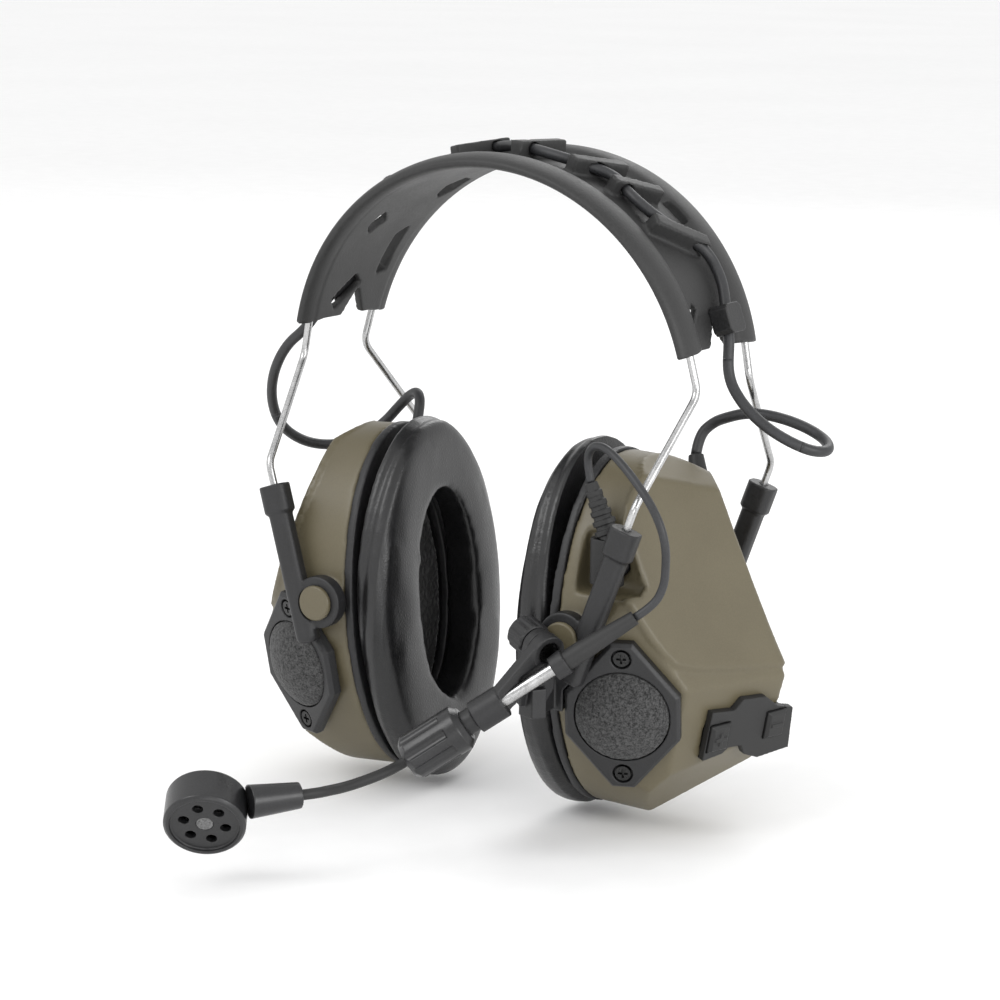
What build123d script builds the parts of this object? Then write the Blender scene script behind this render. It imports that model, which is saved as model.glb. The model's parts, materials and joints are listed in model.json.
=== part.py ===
"""Two-way radio headset: wire headband with a soft pad, two hinged ear cups and a boom microphone.

Millimetres. +X is the wearer's left, -Y the front and +Z up. The origin is the crown of the
pad's underside, where the headset rests on a head.
"""
from build123d import *
from math import atan2, cos, degrees, hypot, radians, sin, sqrt, tan
import os

# Headband
BAND_INNER_R = 59.3
BAND_WEB = 2.2
BAND_HALF_ANGLE = 77.0
RIDGE_R = 61.65
RIDGE_HALF_ANGLE = 77.5
RIDGE_LATERAL = 5.8
RIDGE_RADIAL = 2.1
RIDGE_SPREAD = 14.84
RIDGE_TILT = 4.8
NOTCH_DEPTH = 10.5
BRIDGE_TOP_R = 66.2

# Steel wires and the arms that slide on them
WIRE_D = 2.1
WIRE_PLAY = 0.08
WIRE_TAIL = 10.2
WIRE_BEND_R = 6.0
WIRE_IN_ARM = 36.0
ARM_TOP = (55.5, 39.8, -89.0)
ARM_AXIS = (-0.316, -0.07, -0.946)
ARM_GAP_TO_BEND = 6.33
ARM_W = 6.4
ARM_D = 5.2
ARM_LENGTH = 44.6
COLLAR_W = 8.3
COLLAR_D = 6.6
COLLAR_H = 8.3

# Cup pivots
PIVOT_X = 38.9
PIVOT_Z = -119.6
FRONT_EYE_Y = -41.4
REAR_EYE_Y = 36.5
EYE_D = 14.5
EYE_T = 4.0
EYE_GAP = 0.3
CAP_D = 9.8
CAP_T = 1.4
PIN_D = 5.0
PIN_PLAY = 0.05
SPIGOT_D = 3.0
BOSS_D = 10.4

# Ear cups, in the cup's own frame: X outward, Y to the rear, Z up, X 0 on the seam
CUP_ORIGIN = (34.4, -5.0, -123.7)
CUP_YAW = -1.67
CUP_TILT = -2.68
CUP_LEAN = 4.25
CUP_A = 32.0
CUP_B = 49.5
CUP_MAX_X = 60.0
WALL = 2.2
ROOF_FRONT = ((1.0, -0.33, 0.455), 37.72)
ROOF_REAR = ((1.0, 0.9, 0.455), 52.5)
BAND_FRONT = ((0.915, -0.345, -0.21), 39.53)
BAND_REAR = ((0.75, 0.62, -0.21), 43.65)
MIC_FACET = ((0.3735, -0.9209, -0.1117), 32.58)
UNDERSIDE_OUT = ((0.737, -0.19, -0.648), 45.1)
UNDERSIDE_IN = ((0.467, 0.077, -0.88), 49.0)
TOP_FACET = ((0.55, 0.0, 0.835), 46.0)
FACETS = (ROOF_FRONT, ROOF_REAR, BAND_FRONT, BAND_REAR, MIC_FACET, UNDERSIDE_OUT, UNDERSIDE_IN, TOP_FACET)

# Cushion, base ring and what they hold
BASE_T = 2.5
BASE_PROUD = 0.5
CUSHION_T = 11.3
CUSHION_GAP = 0.1
CUSHION_A = 33.5
CUSHION_B = 52.0
CUSHION_R = 4.5
EAR_A = 15.5
EAR_B = 30.3
EAR_Y = 2.2
EAR_Z = 0.9
TUB_A = 21.5
TUB_B = 36.0
TUB_WALL = 1.2
TUB_DEPTH = 5.0
TUB_FLOOR = 1.5
SPEAKER_D = 36.0
SPEAKER_T = 6.5
BOARD_X = 14.0
BOARD_T = 1.6
POST_D = 4.0

# Ambient microphones on both cups
MIC_CENTRE = (18.0, -26.4, -13.5)
MIC_UP = (0.024, -0.111, 0.994)
MIC_HALF_W = 15.4
MIC_SIDE_FLAT = 6.2
MIC_HALF_H = 21.0
MIC_END_FLAT = 3.0
MIC_PLATE_T = 3.4
FOAM_D = 25.0
FOAM_BULGE = 4.5
SCREW_OFFSET = 16.65
SCREW_HEAD_D = 4.2
SCREW_D = 2.2

# Keypad on the left cup
PAD_CENTRE = (39.0, 1.6, -21.5)
PAD_T = 2.2
KEY_W = 6.5
KEY_H = 8.0
KEY_X = (-10.6, 9.2)
KEY_GAP = 0.25
KEY_PROUD = 3.4
KEY_TRAVEL = 0.8

# Boom
BOOM_PIVOT = (39.2, -52.7, -120.4)
BOOM_PIVOT_AXIS = (0.867, -0.428, -0.255)
ROD_START = (42.9, -54.7, -124.5)
ROD_AXIS = (-0.715, -0.425, -0.555)
ROD_D = 3.6
ROD_PLAY = 0.05
TUBE_WALL = 0.4
TUBE_TAIL = -14.0
SLEEVE_D = 5.4
SLEEVE_LENGTH = 25.0
SLEEVE_BAND = 0.8
COLLAR_SPAN = (15.5, 24.0)
NUT_SPAN = (27.0, 45.0)
NUT_D = 12.6
NECK_D = 2.8
CAPSULE_FACE = (-17.8, -123.7, -159.7)
CAPSULE_AXIS = (0.453, -0.753, -0.477)
CAPSULE_D = 21.0
CAPSULE_T = 10.5

# Battery door on the right cup
DOOR_CENTRE = (32.5, 24.0, -21.0)
DOOR_W = 17.0
DOOR_H = 18.0
DOOR_T = 1.8
DOOR_GAP = 0.3
BATTERY_D = 10.5
BATTERY_L = 44.5

# Cables
CABLE_D = 3.0
MIC_CABLE_D = 2.2
TUNNEL_PLAY = 0.3

UP = (0, 0, 1)
CUP = Pos(*CUP_ORIGIN) * Rot(Z=CUP_YAW) * Rot(Y=-CUP_TILT) * Rot(X=CUP_LEAN)
FLAT_START = (Align.CENTER, Align.CENTER, Align.MIN)


def frame(origin, z_dir, x_hint):
    """A plane at origin whose X follows x_hint as nearly as z_dir allows."""
    z = Vector(*z_dir).normalized()
    x = Vector(*x_hint)
    return Plane(origin=origin, x_dir=x - z * z.dot(x), z_dir=z)


def between(start, end, radius, end_radius=None):
    """A cylinder, or a cone with end_radius, from one point to another."""
    start = Vector(*start)
    run = Vector(*end) - start
    plane = Plane(origin=start, z_dir=run)
    if end_radius is None:
        return plane.location * Cylinder(radius, run.length, align=FLAT_START)
    return plane.location * Cone(radius, end_radius, run.length, align=FLAT_START)


def along_y(x, z, radius, y_start, y_end):
    """A cylinder whose axis is parallel to Y."""
    return between((x, y_start, z), (x, y_end, z), radius)


def hull_under(shape, facet, inset=0.0):
    """The part of shape behind a facet's plane, moved in by inset."""
    normal, reach = facet
    n = Vector(*normal)
    distance = reach / n.length - inset
    n = n.normalized()
    return split(shape, bisect_by=Plane(origin=n * distance, z_dir=n), keep=Keep.BOTTOM)


def oval(a, b, x_start, length, y=0.0, z=0.0):
    """An elliptical slab in the cup's frame, from x_start outward."""
    profile = Pos(x_start, y, z) * (Plane.YZ * Ellipse(a, b))
    return extrude(profile, length, dir=(1, 0, 0))


def cup_solid(inset=0.0, x_start=0.0):
    """The faceted form of the cup, moved in by inset on every side."""
    solid = oval(CUP_A - inset, CUP_B - inset, x_start, CUP_MAX_X)
    for facet in FACETS:
        solid = hull_under(solid, facet, inset)
    return solid


def cup_point(x, y, z):
    """A point of the cup's frame, in the headset's frame."""
    return (CUP * Pos(x, y, z)).position


def block(x_span, y_span, z_span):
    """A box from its three spans."""
    size = [span[1] - span[0] for span in (x_span, y_span, z_span)]
    centre = [(span[1] + span[0]) / 2 for span in (x_span, y_span, z_span)]
    return Pos(*centre) * Box(*size)


def corner_radii(points):
    """The largest arc that the two runs at each corner allow."""
    radii = []
    for before, corner, after in zip(points, points[1:], points[2:]):
        run_in = Vector(*corner) - Vector(*before)
        run_out = Vector(*after) - Vector(*corner)
        half_turn = radians(run_in.get_angle(run_out)) / 2
        radii.append(0.45 * min(run_in.length, run_out.length) / tan(half_turn))
    return radii


def cable_path(points):
    """Straight runs joined by tangent arcs."""
    return FilletPolyline(*points, radius=corner_radii(points))


def tube(path, diameter):
    """A round tube along a path."""
    section = Plane(origin=path @ 0, z_dir=path % 0) * Circle(diameter / 2)
    return sweep(section, path=path)


def describe_cable(name, points, diameter, solid):
    """Print a cable's length, its tightest arc and how its volume agrees with both."""
    length = cable_path(points).length
    volume = 3.14159265 * diameter ** 2 / 4 * length
    tightest = min(corner_radii(points))
    print(f"{name}: {length:.1f} mm, tightest arc {tightest:.1f} mm, volume ratio {solid.volume / volume:.4f}")


def both_sides(name, shape):
    """Write a piece for the wearer's left and its mirror image for the right."""
    write("left_" + name, shape)
    write("right_" + name, mirror(shape, about=Plane.YZ))


def write(name, shape):
    """Write one node."""
    solids = shape.solids()
    export_step(Compound(children=list(solids)) if len(solids) > 1 else solids[0], f"parts/{name}.step")


# ---------------------------------------------------------------- headband

def on_band(angle, y, radius):
    """A plane on the band, angle degrees from the crown, Z outward and Y along the headset's Y."""
    out = Vector(sin(radians(angle)), 0, cos(radians(angle)))
    along = Vector(cos(radians(angle)), 0, -sin(radians(angle)))
    centre = Vector(0, y, -BAND_INNER_R)
    return Plane(origin=centre + out * radius, x_dir=along, z_dir=out)


def arc_sweep(section, radius, half_angle):
    """Turn a section, drawn with X along Y and Y outward, about Y through twice half_angle."""
    start = radians(-half_angle)
    plane = Plane(
        origin=(radius * sin(start), 0, radius * cos(start)),
        x_dir=(0, 1, 0),
        z_dir=(cos(start), 0, -sin(start)),
    )
    return revolve(plane * section, axis=Axis.Y, revolution_arc=2 * half_angle)


def ridge_frame(side):
    """The tilted frame of the front (-1) or rear (1) wire."""
    return Pos(0, side * RIDGE_SPREAD, -BAND_INNER_R) * Rot(X=-side * RIDGE_TILT)


def wire_points(side):
    """The +X leg of a wire: pad end, upper bend, lower bend and the end inside the arm."""
    turn = radians(RIDGE_HALF_ANGLE)
    place = ridge_frame(side)
    tip = (place * Pos(RIDGE_R * sin(turn), 0, RIDGE_R * cos(turn))).position
    past = (place * Pos(RIDGE_R * sin(turn) + cos(turn), 0, RIDGE_R * cos(turn) - sin(turn))).position
    upper = tip + (past - tip) * WIRE_TAIL
    axis = Vector(*ARM_AXIS).normalized()
    top = arm_top(side)
    lower = top - axis * ARM_GAP_TO_BEND
    return [tip, upper, lower, top + axis * WIRE_IN_ARM]


def arm_top(side):
    """Top centre of the front (-1) or rear (1) arm on the wearer's left."""
    x, y, z = ARM_TOP
    return Vector(x, side * y, z)


def wire(side):
    """One steel wire: an arc in the pad and a bent leg at each end."""
    arc = ridge_frame(side) * arc_sweep(Circle(WIRE_D / 2), RIDGE_R, RIDGE_HALF_ANGLE)
    leg = tube(FilletPolyline(*wire_points(side), radius=WIRE_BEND_R), WIRE_D)
    return arc + leg + mirror(leg, about=Plane.YZ)


def band_cut(corners):
    """A slot through the web from its corners, each an angle from the crown and a Y."""
    mid = sum(angle for angle, y in corners) / len(corners)
    outline = [((angle - mid) * radians(1) * BAND_INNER_R, y) for angle, y in corners]
    sketch = on_band(mid, 0, BAND_INNER_R) * make_face(Polyline(*outline, close=True))
    return extrude(sketch, 6, both=True)


def cross_bar(start, end, width):
    """A raised bar over the cable, from one angle and Y to another."""
    mid_angle = (start[0] + end[0]) / 2
    mid_y = (start[1] + end[1]) / 2
    run = (end[0] - start[0]) * radians(1) * BRIDGE_TOP_R
    rise = end[1] - start[1]
    floor_r = BAND_INNER_R + BAND_WEB / 2
    bar = Box(hypot(run, rise), width, BRIDGE_TOP_R - floor_r, align=FLAT_START)
    plane = on_band(mid_angle, mid_y, floor_r)
    return plane.location * (Rot(Z=degrees(atan2(rise, run))) * bar)


CABLE_R = 64.1
CABLE_WAVE = (
    (76, 2.6), (70, 4.5), (62, 9), (54, 9.5), (48, 3), (42, -4), (34, -5.5), (26, 0), (18, -5.5), (10, -7),
    (2, -3), (-6, 3), (-14, 5), (-22, 1), (-30, -4), (-38, -6), (-45, -7), (-52, -1), (-58, 6.5), (-64, 5.5),
    (-70, -1), (-76, -8),
)


def headband_cable_points():
    """The cable over the pad, ending halfway along the first run of each loop."""
    over = []
    for angle, y in CABLE_WAVE:
        plane = on_band(angle, y, CABLE_R)
        over.append(plane.origin)
    left_exit = halfway(over[0], LEFT_LOOP[0])
    right_exit = halfway(over[-1], RIGHT_LOOP[0])
    return [left_exit] + over + [right_exit]


def cable_clip(angle, y):
    """A saddle that holds the cable down at the end of the band."""
    base_r = BAND_INNER_R + BAND_WEB
    saddle = Box(8.0, 8.6, BRIDGE_TOP_R + 0.8 - base_r, align=FLAT_START)
    saddle = chamfer(saddle.edges().filter_by(Axis.Z), 1.2)
    return on_band(angle, y, base_r).location * saddle


def headband_pad(tunnel):
    """The web, a ridge round each wire, cross bars, slots and an end notch."""
    web = Pos(0, 0, -BAND_INNER_R) * arc_sweep(
        Rectangle(50, BAND_WEB), BAND_INNER_R + BAND_WEB / 2, BAND_HALF_ANGLE
    )
    for side in (-1, 1):
        place = ridge_frame(side)
        outward = (place * Pos(0, side, 0)).position - place.position
        web = split(web, bisect_by=Plane(origin=place.position, z_dir=outward), keep=Keep.BOTTOM)
    pad = web
    for side in (-1, 1):
        place = ridge_frame(side)
        pad += place * arc_sweep(Ellipse(RIDGE_LATERAL, RIDGE_RADIAL), RIDGE_R, RIDGE_HALF_ANGLE)
    bars = (
        ((43.5, -8.5), (52, 9.5), 4.0),
        ((29, -7.5), (35.5, 8), 3.6),
        ((18, -9.5), (24.5, 7.5), 4.0),
        ((2, -9), (6, 8), 4.0),
        ((-16, -8), (-10, 9), 4.0),
        ((-36, -11.5), (-30, 5), 4.0),
    )
    for start, end, width in bars:
        pad += cross_bar(start, end, width)
    slots = (
        ((-71.7, -10.5), (-74.7, -7.9), (-67.5, 2), (-64.5, -2.1)),
        ((-65.6, 8.5), (-64.7, 13.2), (-49.4, 12.4), (-52.3, 8)),
        ((-47.5, -11.1), (-50.3, -8.1), (-45.6, -4.2), (-41.6, -8.8)),
        ((-37.8, 13.1), (-35.4, 10.4), (-31.1, 8.8), (-26.5, 12), (-28, 17), (-34, 17)),
        ((65.1, -7.1), (66.3, -5.2), (71.8, -11.3), (70.2, -12.5)),
        ((9, 9.5), (9, 12), (15, 12), (15, 9.5)),
        ((36, 12), (36, 14.2), (44, 14.2), (44, 12)),
    )
    for corners in slots:
        pad -= band_cut(corners)
    for side in (-1, 1):
        pad -= ridge_frame(side) * arc_sweep(
            Circle(WIRE_D / 2 + WIRE_PLAY), RIDGE_R, RIDGE_HALF_ANGLE + 1
        )
    for side in (-1, 1):
        top = -BAND_INNER_R + 21.5
        notch = Polyline((-7, top - NOTCH_DEPTH - 3), (2, top), (11, top - NOTCH_DEPTH - 3), close=True)
        wedge = extrude(Plane.YZ * make_face(notch), side * 80)
        pad -= wedge
    return pad - tunnel


# ---------------------------------------------------------------- arms

def arm(side):
    """A plastic arm: a flared mouth, a tube round the wire and the eye of the cup's pivot."""
    plane = frame(arm_top(side), ARM_AXIS, (1, 0, 0))
    body = extrude(plane * RectangleRounded(ARM_W, ARM_D, 2.0), ARM_LENGTH)
    body = fillet(body.faces().sort_by(Axis.Z)[0].edges(), 1.8)
    mouth = extrude(plane * RectangleRounded(COLLAR_W, COLLAR_D, 2.6), COLLAR_H)
    mouth = chamfer(mouth.faces().sort_by(Axis.Z)[0].edges(), 0.8)
    body += mouth
    eye_y = FRONT_EYE_Y if side < 0 else REAR_EYE_Y
    inner_y = eye_y - side * EYE_T / 2
    outer_y = eye_y + side * EYE_T / 2
    body += along_y(PIVOT_X, PIVOT_Z, EYE_D / 2, inner_y, outer_y)
    body -= along_y(PIVOT_X, PIVOT_Z, EYE_D / 2 + EYE_GAP, inner_y, inner_y - side * 6)
    body -= along_y(PIVOT_X, PIVOT_Z, CAP_D / 2 + EYE_GAP, outer_y, outer_y + side * 6)
    body -= along_y(PIVOT_X, PIVOT_Z, PIN_D / 2 + PIN_PLAY, inner_y - side, outer_y + side)
    axis = Vector(*ARM_AXIS).normalized()
    bore_end = arm_top(side) + axis * (WIRE_IN_ARM + 4.5)
    body -= between(arm_top(side) - axis, bore_end, WIRE_D / 2 + WIRE_PLAY)
    return body


def boss_face_y(side):
    """Where the cup's pivot boss ends, a running gap from the eye."""
    eye_y = FRONT_EYE_Y if side < 0 else REAR_EYE_Y
    return eye_y - side * (EYE_T / 2 + EYE_GAP)


def pivot_pin(side):
    """A capped pin through the eye into the cup's boss."""
    eye_y = FRONT_EYE_Y if side < 0 else REAR_EYE_Y
    cap_y = eye_y + side * (EYE_T / 2 + 0.1)
    cap = along_y(PIVOT_X, PIVOT_Z, CAP_D / 2, cap_y, cap_y + side * CAP_T)
    cap = chamfer(cap.faces().sort_by(Axis.Y)[0 if side < 0 else -1].edges(), 0.4)
    shank = along_y(PIVOT_X, PIVOT_Z, PIN_D / 2, boss_face_y(side), cap_y)
    spigot = along_y(PIVOT_X, PIVOT_Z, SPIGOT_D / 2, boss_face_y(side) - side * 3, boss_face_y(side))
    return cap + shank + spigot


# ---------------------------------------------------------------- cups



def on_facet(point, facet, x_hint):
    """A plane on a facet at the place nearest to point."""
    normal, reach = facet
    n = Vector(*normal)
    centre = Vector(*point) + n * ((reach - n.dot(Vector(*point))) / n.length ** 2)
    return frame(centre, normal, x_hint)


MIC_PLANE = on_facet(MIC_CENTRE, MIC_FACET, MIC_UP)
PAD_PLANE = on_facet(PAD_CENTRE, BAND_FRONT, (0.353, 0.936, 0))
DOOR_PLANE = on_facet(DOOR_CENTRE, BAND_REAR, (-0.637, 0.771, 0))
POCKET_X = (4.0, 21.0)
POCKET_Z = (18.0, 34.0)
POCKET_Y = -22.0


def on_mic_plate(along, across, z_start, z_end, radius):
    """A cylinder square to the microphone facet; along runs up the plate."""
    start = MIC_PLANE.from_local_coords(Vector(along, across, z_start))
    end = MIC_PLANE.from_local_coords(Vector(along, across, z_end))
    return between(start, end, radius)


def on_keypad(x, y, z_start, z_end, width, height):
    """A box square to the keypad."""
    size = z_end - z_start
    place = PAD_PLANE.location * Pos(x, y, z_start)
    return place * Box(width, height, size, align=FLAT_START)


def shell(kind):
    """The hard outer cup; kind is left, with the keypad, or right, with the battery door."""
    outer = cup_solid()
    body = outer - cup_solid(WALL, -1.0)
    for along in (-SCREW_OFFSET, SCREW_OFFSET):
        body += on_mic_plate(along, 0, -6.0, -0.5, 2.8) & outer
        body -= on_mic_plate(along, 0, -5.0, 1.0, SCREW_D / 2 + 0.1)
    body -= on_mic_plate(0, 0, -WALL - 2, 1.0, 3.2)
    base, tip = gland_line()
    body -= between(base - (tip - base), tip, GLAND_STEM_D / 2 + 0.1)
    if kind == "left":
        frame_x = (POCKET_X[0] - WALL, POCKET_X[1] + WALL)
        frame_z = (POCKET_Z[0] - WALL, POCKET_Z[1] + WALL)
        body += block(frame_x, (-60, POCKET_Y + WALL), frame_z) & outer
        body -= block(POCKET_X, (-60, POCKET_Y), POCKET_Z)
        body -= between((11.5, POCKET_Y - 1, 26), (11.5, POCKET_Y + 8, 26), SOCKET_D / 2 + 0.1)
        for x in KEY_X:
            body -= on_keypad(x, 0, -8, 1, KEY_W + 2 * KEY_GAP, KEY_H + 2 * KEY_GAP)
        for y in (-3.2, 3.2):
            post_start = PAD_PLANE.from_local_coords(Vector(-0.7, y, -0.5))
            post_end = PAD_PLANE.from_local_coords(Vector(-0.7, y, -SWITCH_BOARD_Z))
            body += between(post_start, post_end, 1.6)
    if kind == "right":
        opening = Box(DOOR_W + 2 * DOOR_GAP, DOOR_H + 2 * DOOR_GAP, 12)
        body -= DOOR_PLANE.location * opening
        hinge = DOOR_PLANE.location * Pos(0, DOOR_HINGE_Y, -DOOR_T / 2) * Rot(Y=90)
        body -= hinge * Cylinder(0.6, DOOR_W + 4.4)
    body = CUP * body
    for side in (-1, 1):
        face_y = boss_face_y(side)
        boss = along_y(PIVOT_X, PIVOT_Z, BOSS_D / 2, -5, face_y)
        boss = CUP.inverse() * boss
        boss = boss & block((0.1, 60), (-60, 60), (-60, 60))
        boss = boss - cup_solid(WALL / 2, -1.0)
        body += CUP * boss
        body -= along_y(PIVOT_X, PIVOT_Z, SPIGOT_D / 2 + 0.05, face_y + side, face_y - side * 3.2)
    return body


def base_ring():
    """The plate behind the cushion, with a tub for the liner and posts for the circuit board."""
    ring = oval(CUP_A + BASE_PROUD, CUP_B + BASE_PROUD, -BASE_T, BASE_T)
    ring -= oval(EAR_A + 1.5, EAR_B + 1.7, -BASE_T - 1, BASE_T + 2, EAR_Y, EAR_Z)
    ring += oval(TUB_A, TUB_B, -0.5, TUB_DEPTH + TUB_FLOOR + 0.5) - oval(
        TUB_A - TUB_WALL, TUB_B - TUB_WALL, -0.5, TUB_DEPTH + 0.5
    )
    ring -= between((0, EAR_Y, EAR_Z), (10, EAR_Y, EAR_Z), SPEAKER_D / 2 - 3)
    ring -= oval(EAR_A + 1.5, EAR_B + 1.7, -BASE_T - 1, BASE_T + 1.2, EAR_Y, EAR_Z)
    for z in (-27, 27):
        ring += between((TUB_DEPTH + 1, EAR_Y, z), (BOARD_X, EAR_Y, z), POST_D / 2)
    return ring


def cushion():
    """The ear cushion's outer form, with its hole."""
    start = -BASE_T - CUSHION_GAP - CUSHION_T
    body = oval(CUSHION_A, CUSHION_B, start, CUSHION_T)
    body = fillet(body.edges(), CUSHION_R)
    return body - oval(EAR_A, EAR_B, start - 1, CUSHION_T + 2, EAR_Y, EAR_Z)


def ear_foam():
    """The thin liner in front of the loudspeaker."""
    play = TUB_WALL + 0.3
    return oval(TUB_A - play, TUB_B - play, 0.6, TUB_DEPTH - 0.6)


def speaker():
    """The loudspeaker, with its magnet behind."""
    start = TUB_DEPTH + TUB_FLOOR
    basket = between((start, EAR_Y, EAR_Z), (start + 2.5, EAR_Y, EAR_Z), SPEAKER_D / 2)
    magnet = between((start + 2.5, EAR_Y, EAR_Z), (start + SPEAKER_T, EAR_Y, EAR_Z), SPEAKER_D / 3)
    return basket + magnet


def circuit_board():
    """The board on the ring's posts, with a few tall parts."""
    board = oval(20, 32, BOARD_X, BOARD_T, EAR_Y, 0)
    chip = Pos(BOARD_X - 0.6, -6, 22) * Box(1.2, 8, 5)
    return board + chip


def mic_outline():
    """The stretched octagon of the microphone plate; X runs up the plate."""
    h = MIC_HALF_H
    w = MIC_HALF_W
    corners = (
        (h, -MIC_END_FLAT), (h, MIC_END_FLAT), (MIC_SIDE_FLAT, w), (-MIC_SIDE_FLAT, w),
        (-h, MIC_END_FLAT), (-h, -MIC_END_FLAT), (-MIC_SIDE_FLAT, -w), (MIC_SIDE_FLAT, -w),
    )
    return make_face(Polyline(*corners, close=True))


def mic_frame():
    """The plate that holds the microphone's foam."""
    plate = extrude(MIC_PLANE * mic_outline(), MIC_PLATE_T)
    rim = plate.faces().sort_by(Axis(MIC_CENTRE, MIC_FACET[0]))[-1].edges()
    plate = chamfer(rim, 0.9)
    plate -= on_mic_plate(0, 0, -1, MIC_PLATE_T + 1, FOAM_D / 2 + 0.3)
    for along in (-SCREW_OFFSET, SCREW_OFFSET):
        plate -= on_mic_plate(along, 0, MIC_PLATE_T / 2, MIC_PLATE_T + 1, SCREW_HEAD_D / 2 + 0.6)
        plate -= on_mic_plate(along, 0, -1, MIC_PLATE_T, SCREW_D / 2 + 0.15)
    clear_y = FRONT_EYE_Y + EYE_T / 2 - EYE_GAP
    clearance = block((30, 47), (-60, clear_y), (-134, -110))
    clearance += along_y(PIVOT_X, PIVOT_Z, BOSS_D / 2 + 0.4, -60, -20)
    return plate - CUP.inverse() * clearance


def mic_foam():
    """The foam dome over the ambient microphone."""
    base = on_mic_plate(0, 0, 0.05, MIC_PLATE_T, FOAM_D / 2)
    sphere_r = ((FOAM_D / 2) ** 2 + FOAM_BULGE ** 2) / (2 * FOAM_BULGE)
    centre = MIC_PLANE.from_local_coords(Vector(0, 0, MIC_PLATE_T + FOAM_BULGE - sphere_r))
    dome = Pos(*centre) * Sphere(sphere_r)
    dome = dome & on_mic_plate(0, 0, MIC_PLATE_T, MIC_PLATE_T + FOAM_BULGE + 1, FOAM_D / 2)
    return base + dome


def mic_screws():
    """Two cross-head screws."""
    screws = []
    for along in (-SCREW_OFFSET, SCREW_OFFSET):
        seat = MIC_PLATE_T / 2
        screw = on_mic_plate(along, 0, -4.5, seat, SCREW_D / 2)
        screw += on_mic_plate(along, 0, seat, seat + 1.5, SCREW_HEAD_D / 2)
        cross = MIC_PLANE.location * Pos(along, 0, seat + 1.5)
        screw -= cross * Box(2.6, 0.6, 1.6)
        screw -= cross * Box(0.6, 2.6, 1.6)
        screws.append(screw)
    return Compound(children=[solid for screw in screws for solid in screw.solids()])


def ambient_mic():
    """The microphone capsule behind the foam."""
    return on_mic_plate(0, 0, -WALL - 1.8, -0.1, 3.0)


GLAND_BASE = (12.4, 22.0, 33.0)
GLAND_TIP = (45.5, 17.5, -78.5)
GLAND_STEM_D = 5.0


def gland_line():
    """The gland's axis in the cup's frame, from inside the shell to its tip."""
    tip = (CUP.inverse() * Pos(*GLAND_TIP)).position
    return Vector(*GLAND_BASE), tip


def cable_gland():
    """The strain relief of the cable between the cups."""
    base, tip = gland_line()
    along = (tip - base).normalized()
    stem = between(base - along * 4, tip, GLAND_STEM_D / 2)
    cone = between(base, tip, 3.6, 2.1)
    ridge = base + (tip - base) * 0.45
    ridge_end = base + (tip - base) * 0.58
    cone += between(ridge, ridge_end, 3.4)
    cone -= cup_solid()
    stem = stem & cup_solid()
    flange = between(base - along * 5, base, 3.6) & cup_solid(WALL + 0.05)
    return cone + stem + flange


# ---------------------------------------------------------------- keypad

SWITCH_BOARD_Z = 7.4


def keypad_panel():
    """The H-shaped rubber panel: two lobes joined by a narrow bridge."""
    outline = (
        (-14.6, -6.6), (-8.0, -5.8), (-6.0, -4.4), (-1.6, -4.6), (0.2, -7.8), (5.4, -10.0), (16.4, -9.2),
        (15.2, 3.6), (9.6, 5.2), (4.4, 9.2), (-3.6, 10.0), (-6.2, 7.2), (-14.2, 8.2),
    )
    panel = extrude(PAD_PLANE * make_face(Polyline(*outline, close=True)), PAD_T)
    for x in KEY_X:
        panel -= on_keypad(x, 0, -1, PAD_T + 1, KEY_W + 2 * KEY_GAP, KEY_H + 2 * KEY_GAP)
    return panel


def key_button(x, marks):
    """A push button with a raised sign made of bars."""
    cap = on_keypad(x, 0, -WALL - 0.4, KEY_PROUD, KEY_W, KEY_H)
    top = cap.faces().sort_by(Axis(PAD_CENTRE, BAND_FRONT[0]))[-1]
    cap = chamfer(top.edges(), 0.8)
    for width, height in marks:
        cap += on_keypad(x, 0, KEY_PROUD - 0.1, KEY_PROUD + 0.4, width, height)
    return cap


def key_switches():
    """A small board with a switch under each button."""
    board = on_keypad(-0.7, 0, -SWITCH_BOARD_Z - 0.8, -SWITCH_BOARD_Z, 27, 9)
    for x in KEY_X:
        board += on_keypad(x, 0, -SWITCH_BOARD_Z, -4.6, 6, 6)
        plunger = PAD_PLANE.location * Pos(x, 0, -4.6)
        gap = WALL + 0.4 + KEY_TRAVEL + 0.1
        board += plunger * Cylinder(1.5, 4.6 - gap, align=FLAT_START)
    return board & cup_solid(WALL + 0.2)


# ---------------------------------------------------------------- microphone plug

SOCKET_D = 9.0
BOOT_TIP = (41.2, -33.6, -79.0)
BOOT_RIBS = 5
PLUG_TOP_Z = 33.0


def boot_base():
    """Where the boot leaves the plug."""
    return cup_point(11.9, -25.4, PLUG_TOP_Z)


def mic_socket():
    """The socket in the back wall of the recess."""
    ring = between((11.5, POCKET_Y - 0.8, 26), (11.5, POCKET_Y + 5, 26), SOCKET_D / 2)
    return ring - between((11.5, POCKET_Y - 2, 26), (11.5, POCKET_Y + 4, 26), 1.8)


def mic_plug():
    """The right-angled plug in the recess."""
    body = block((7.0, 16.0), (-28.6, POCKET_Y - 0.9), (20.5, PLUG_TOP_Z))
    body = fillet(body.edges().filter_by(Axis.Z), 2.2)
    return body + between((11.5, POCKET_Y - 0.9, 26), (11.5, POCKET_Y + 3.6, 26), 1.7)


def mic_plug_boot():
    """The ribbed strain relief on the plug."""
    tip = Vector(*BOOT_TIP)
    base = boot_base()
    run = tip - base
    boot = between(base - run * 0.1, tip, 3.0, 1.7)
    for rib in range(BOOT_RIBS):
        start = base + run * (0.08 + 0.17 * rib)
        end = base + run * (0.17 + 0.17 * rib)
        boot += between(start, end, 3.4 - 0.3 * rib)
    above_plug = block((-60, 60), (-60, 60), (PLUG_TOP_Z, 90))
    return (boot & CUP * above_plug) - CUP * cup_solid(-0.1)


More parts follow.
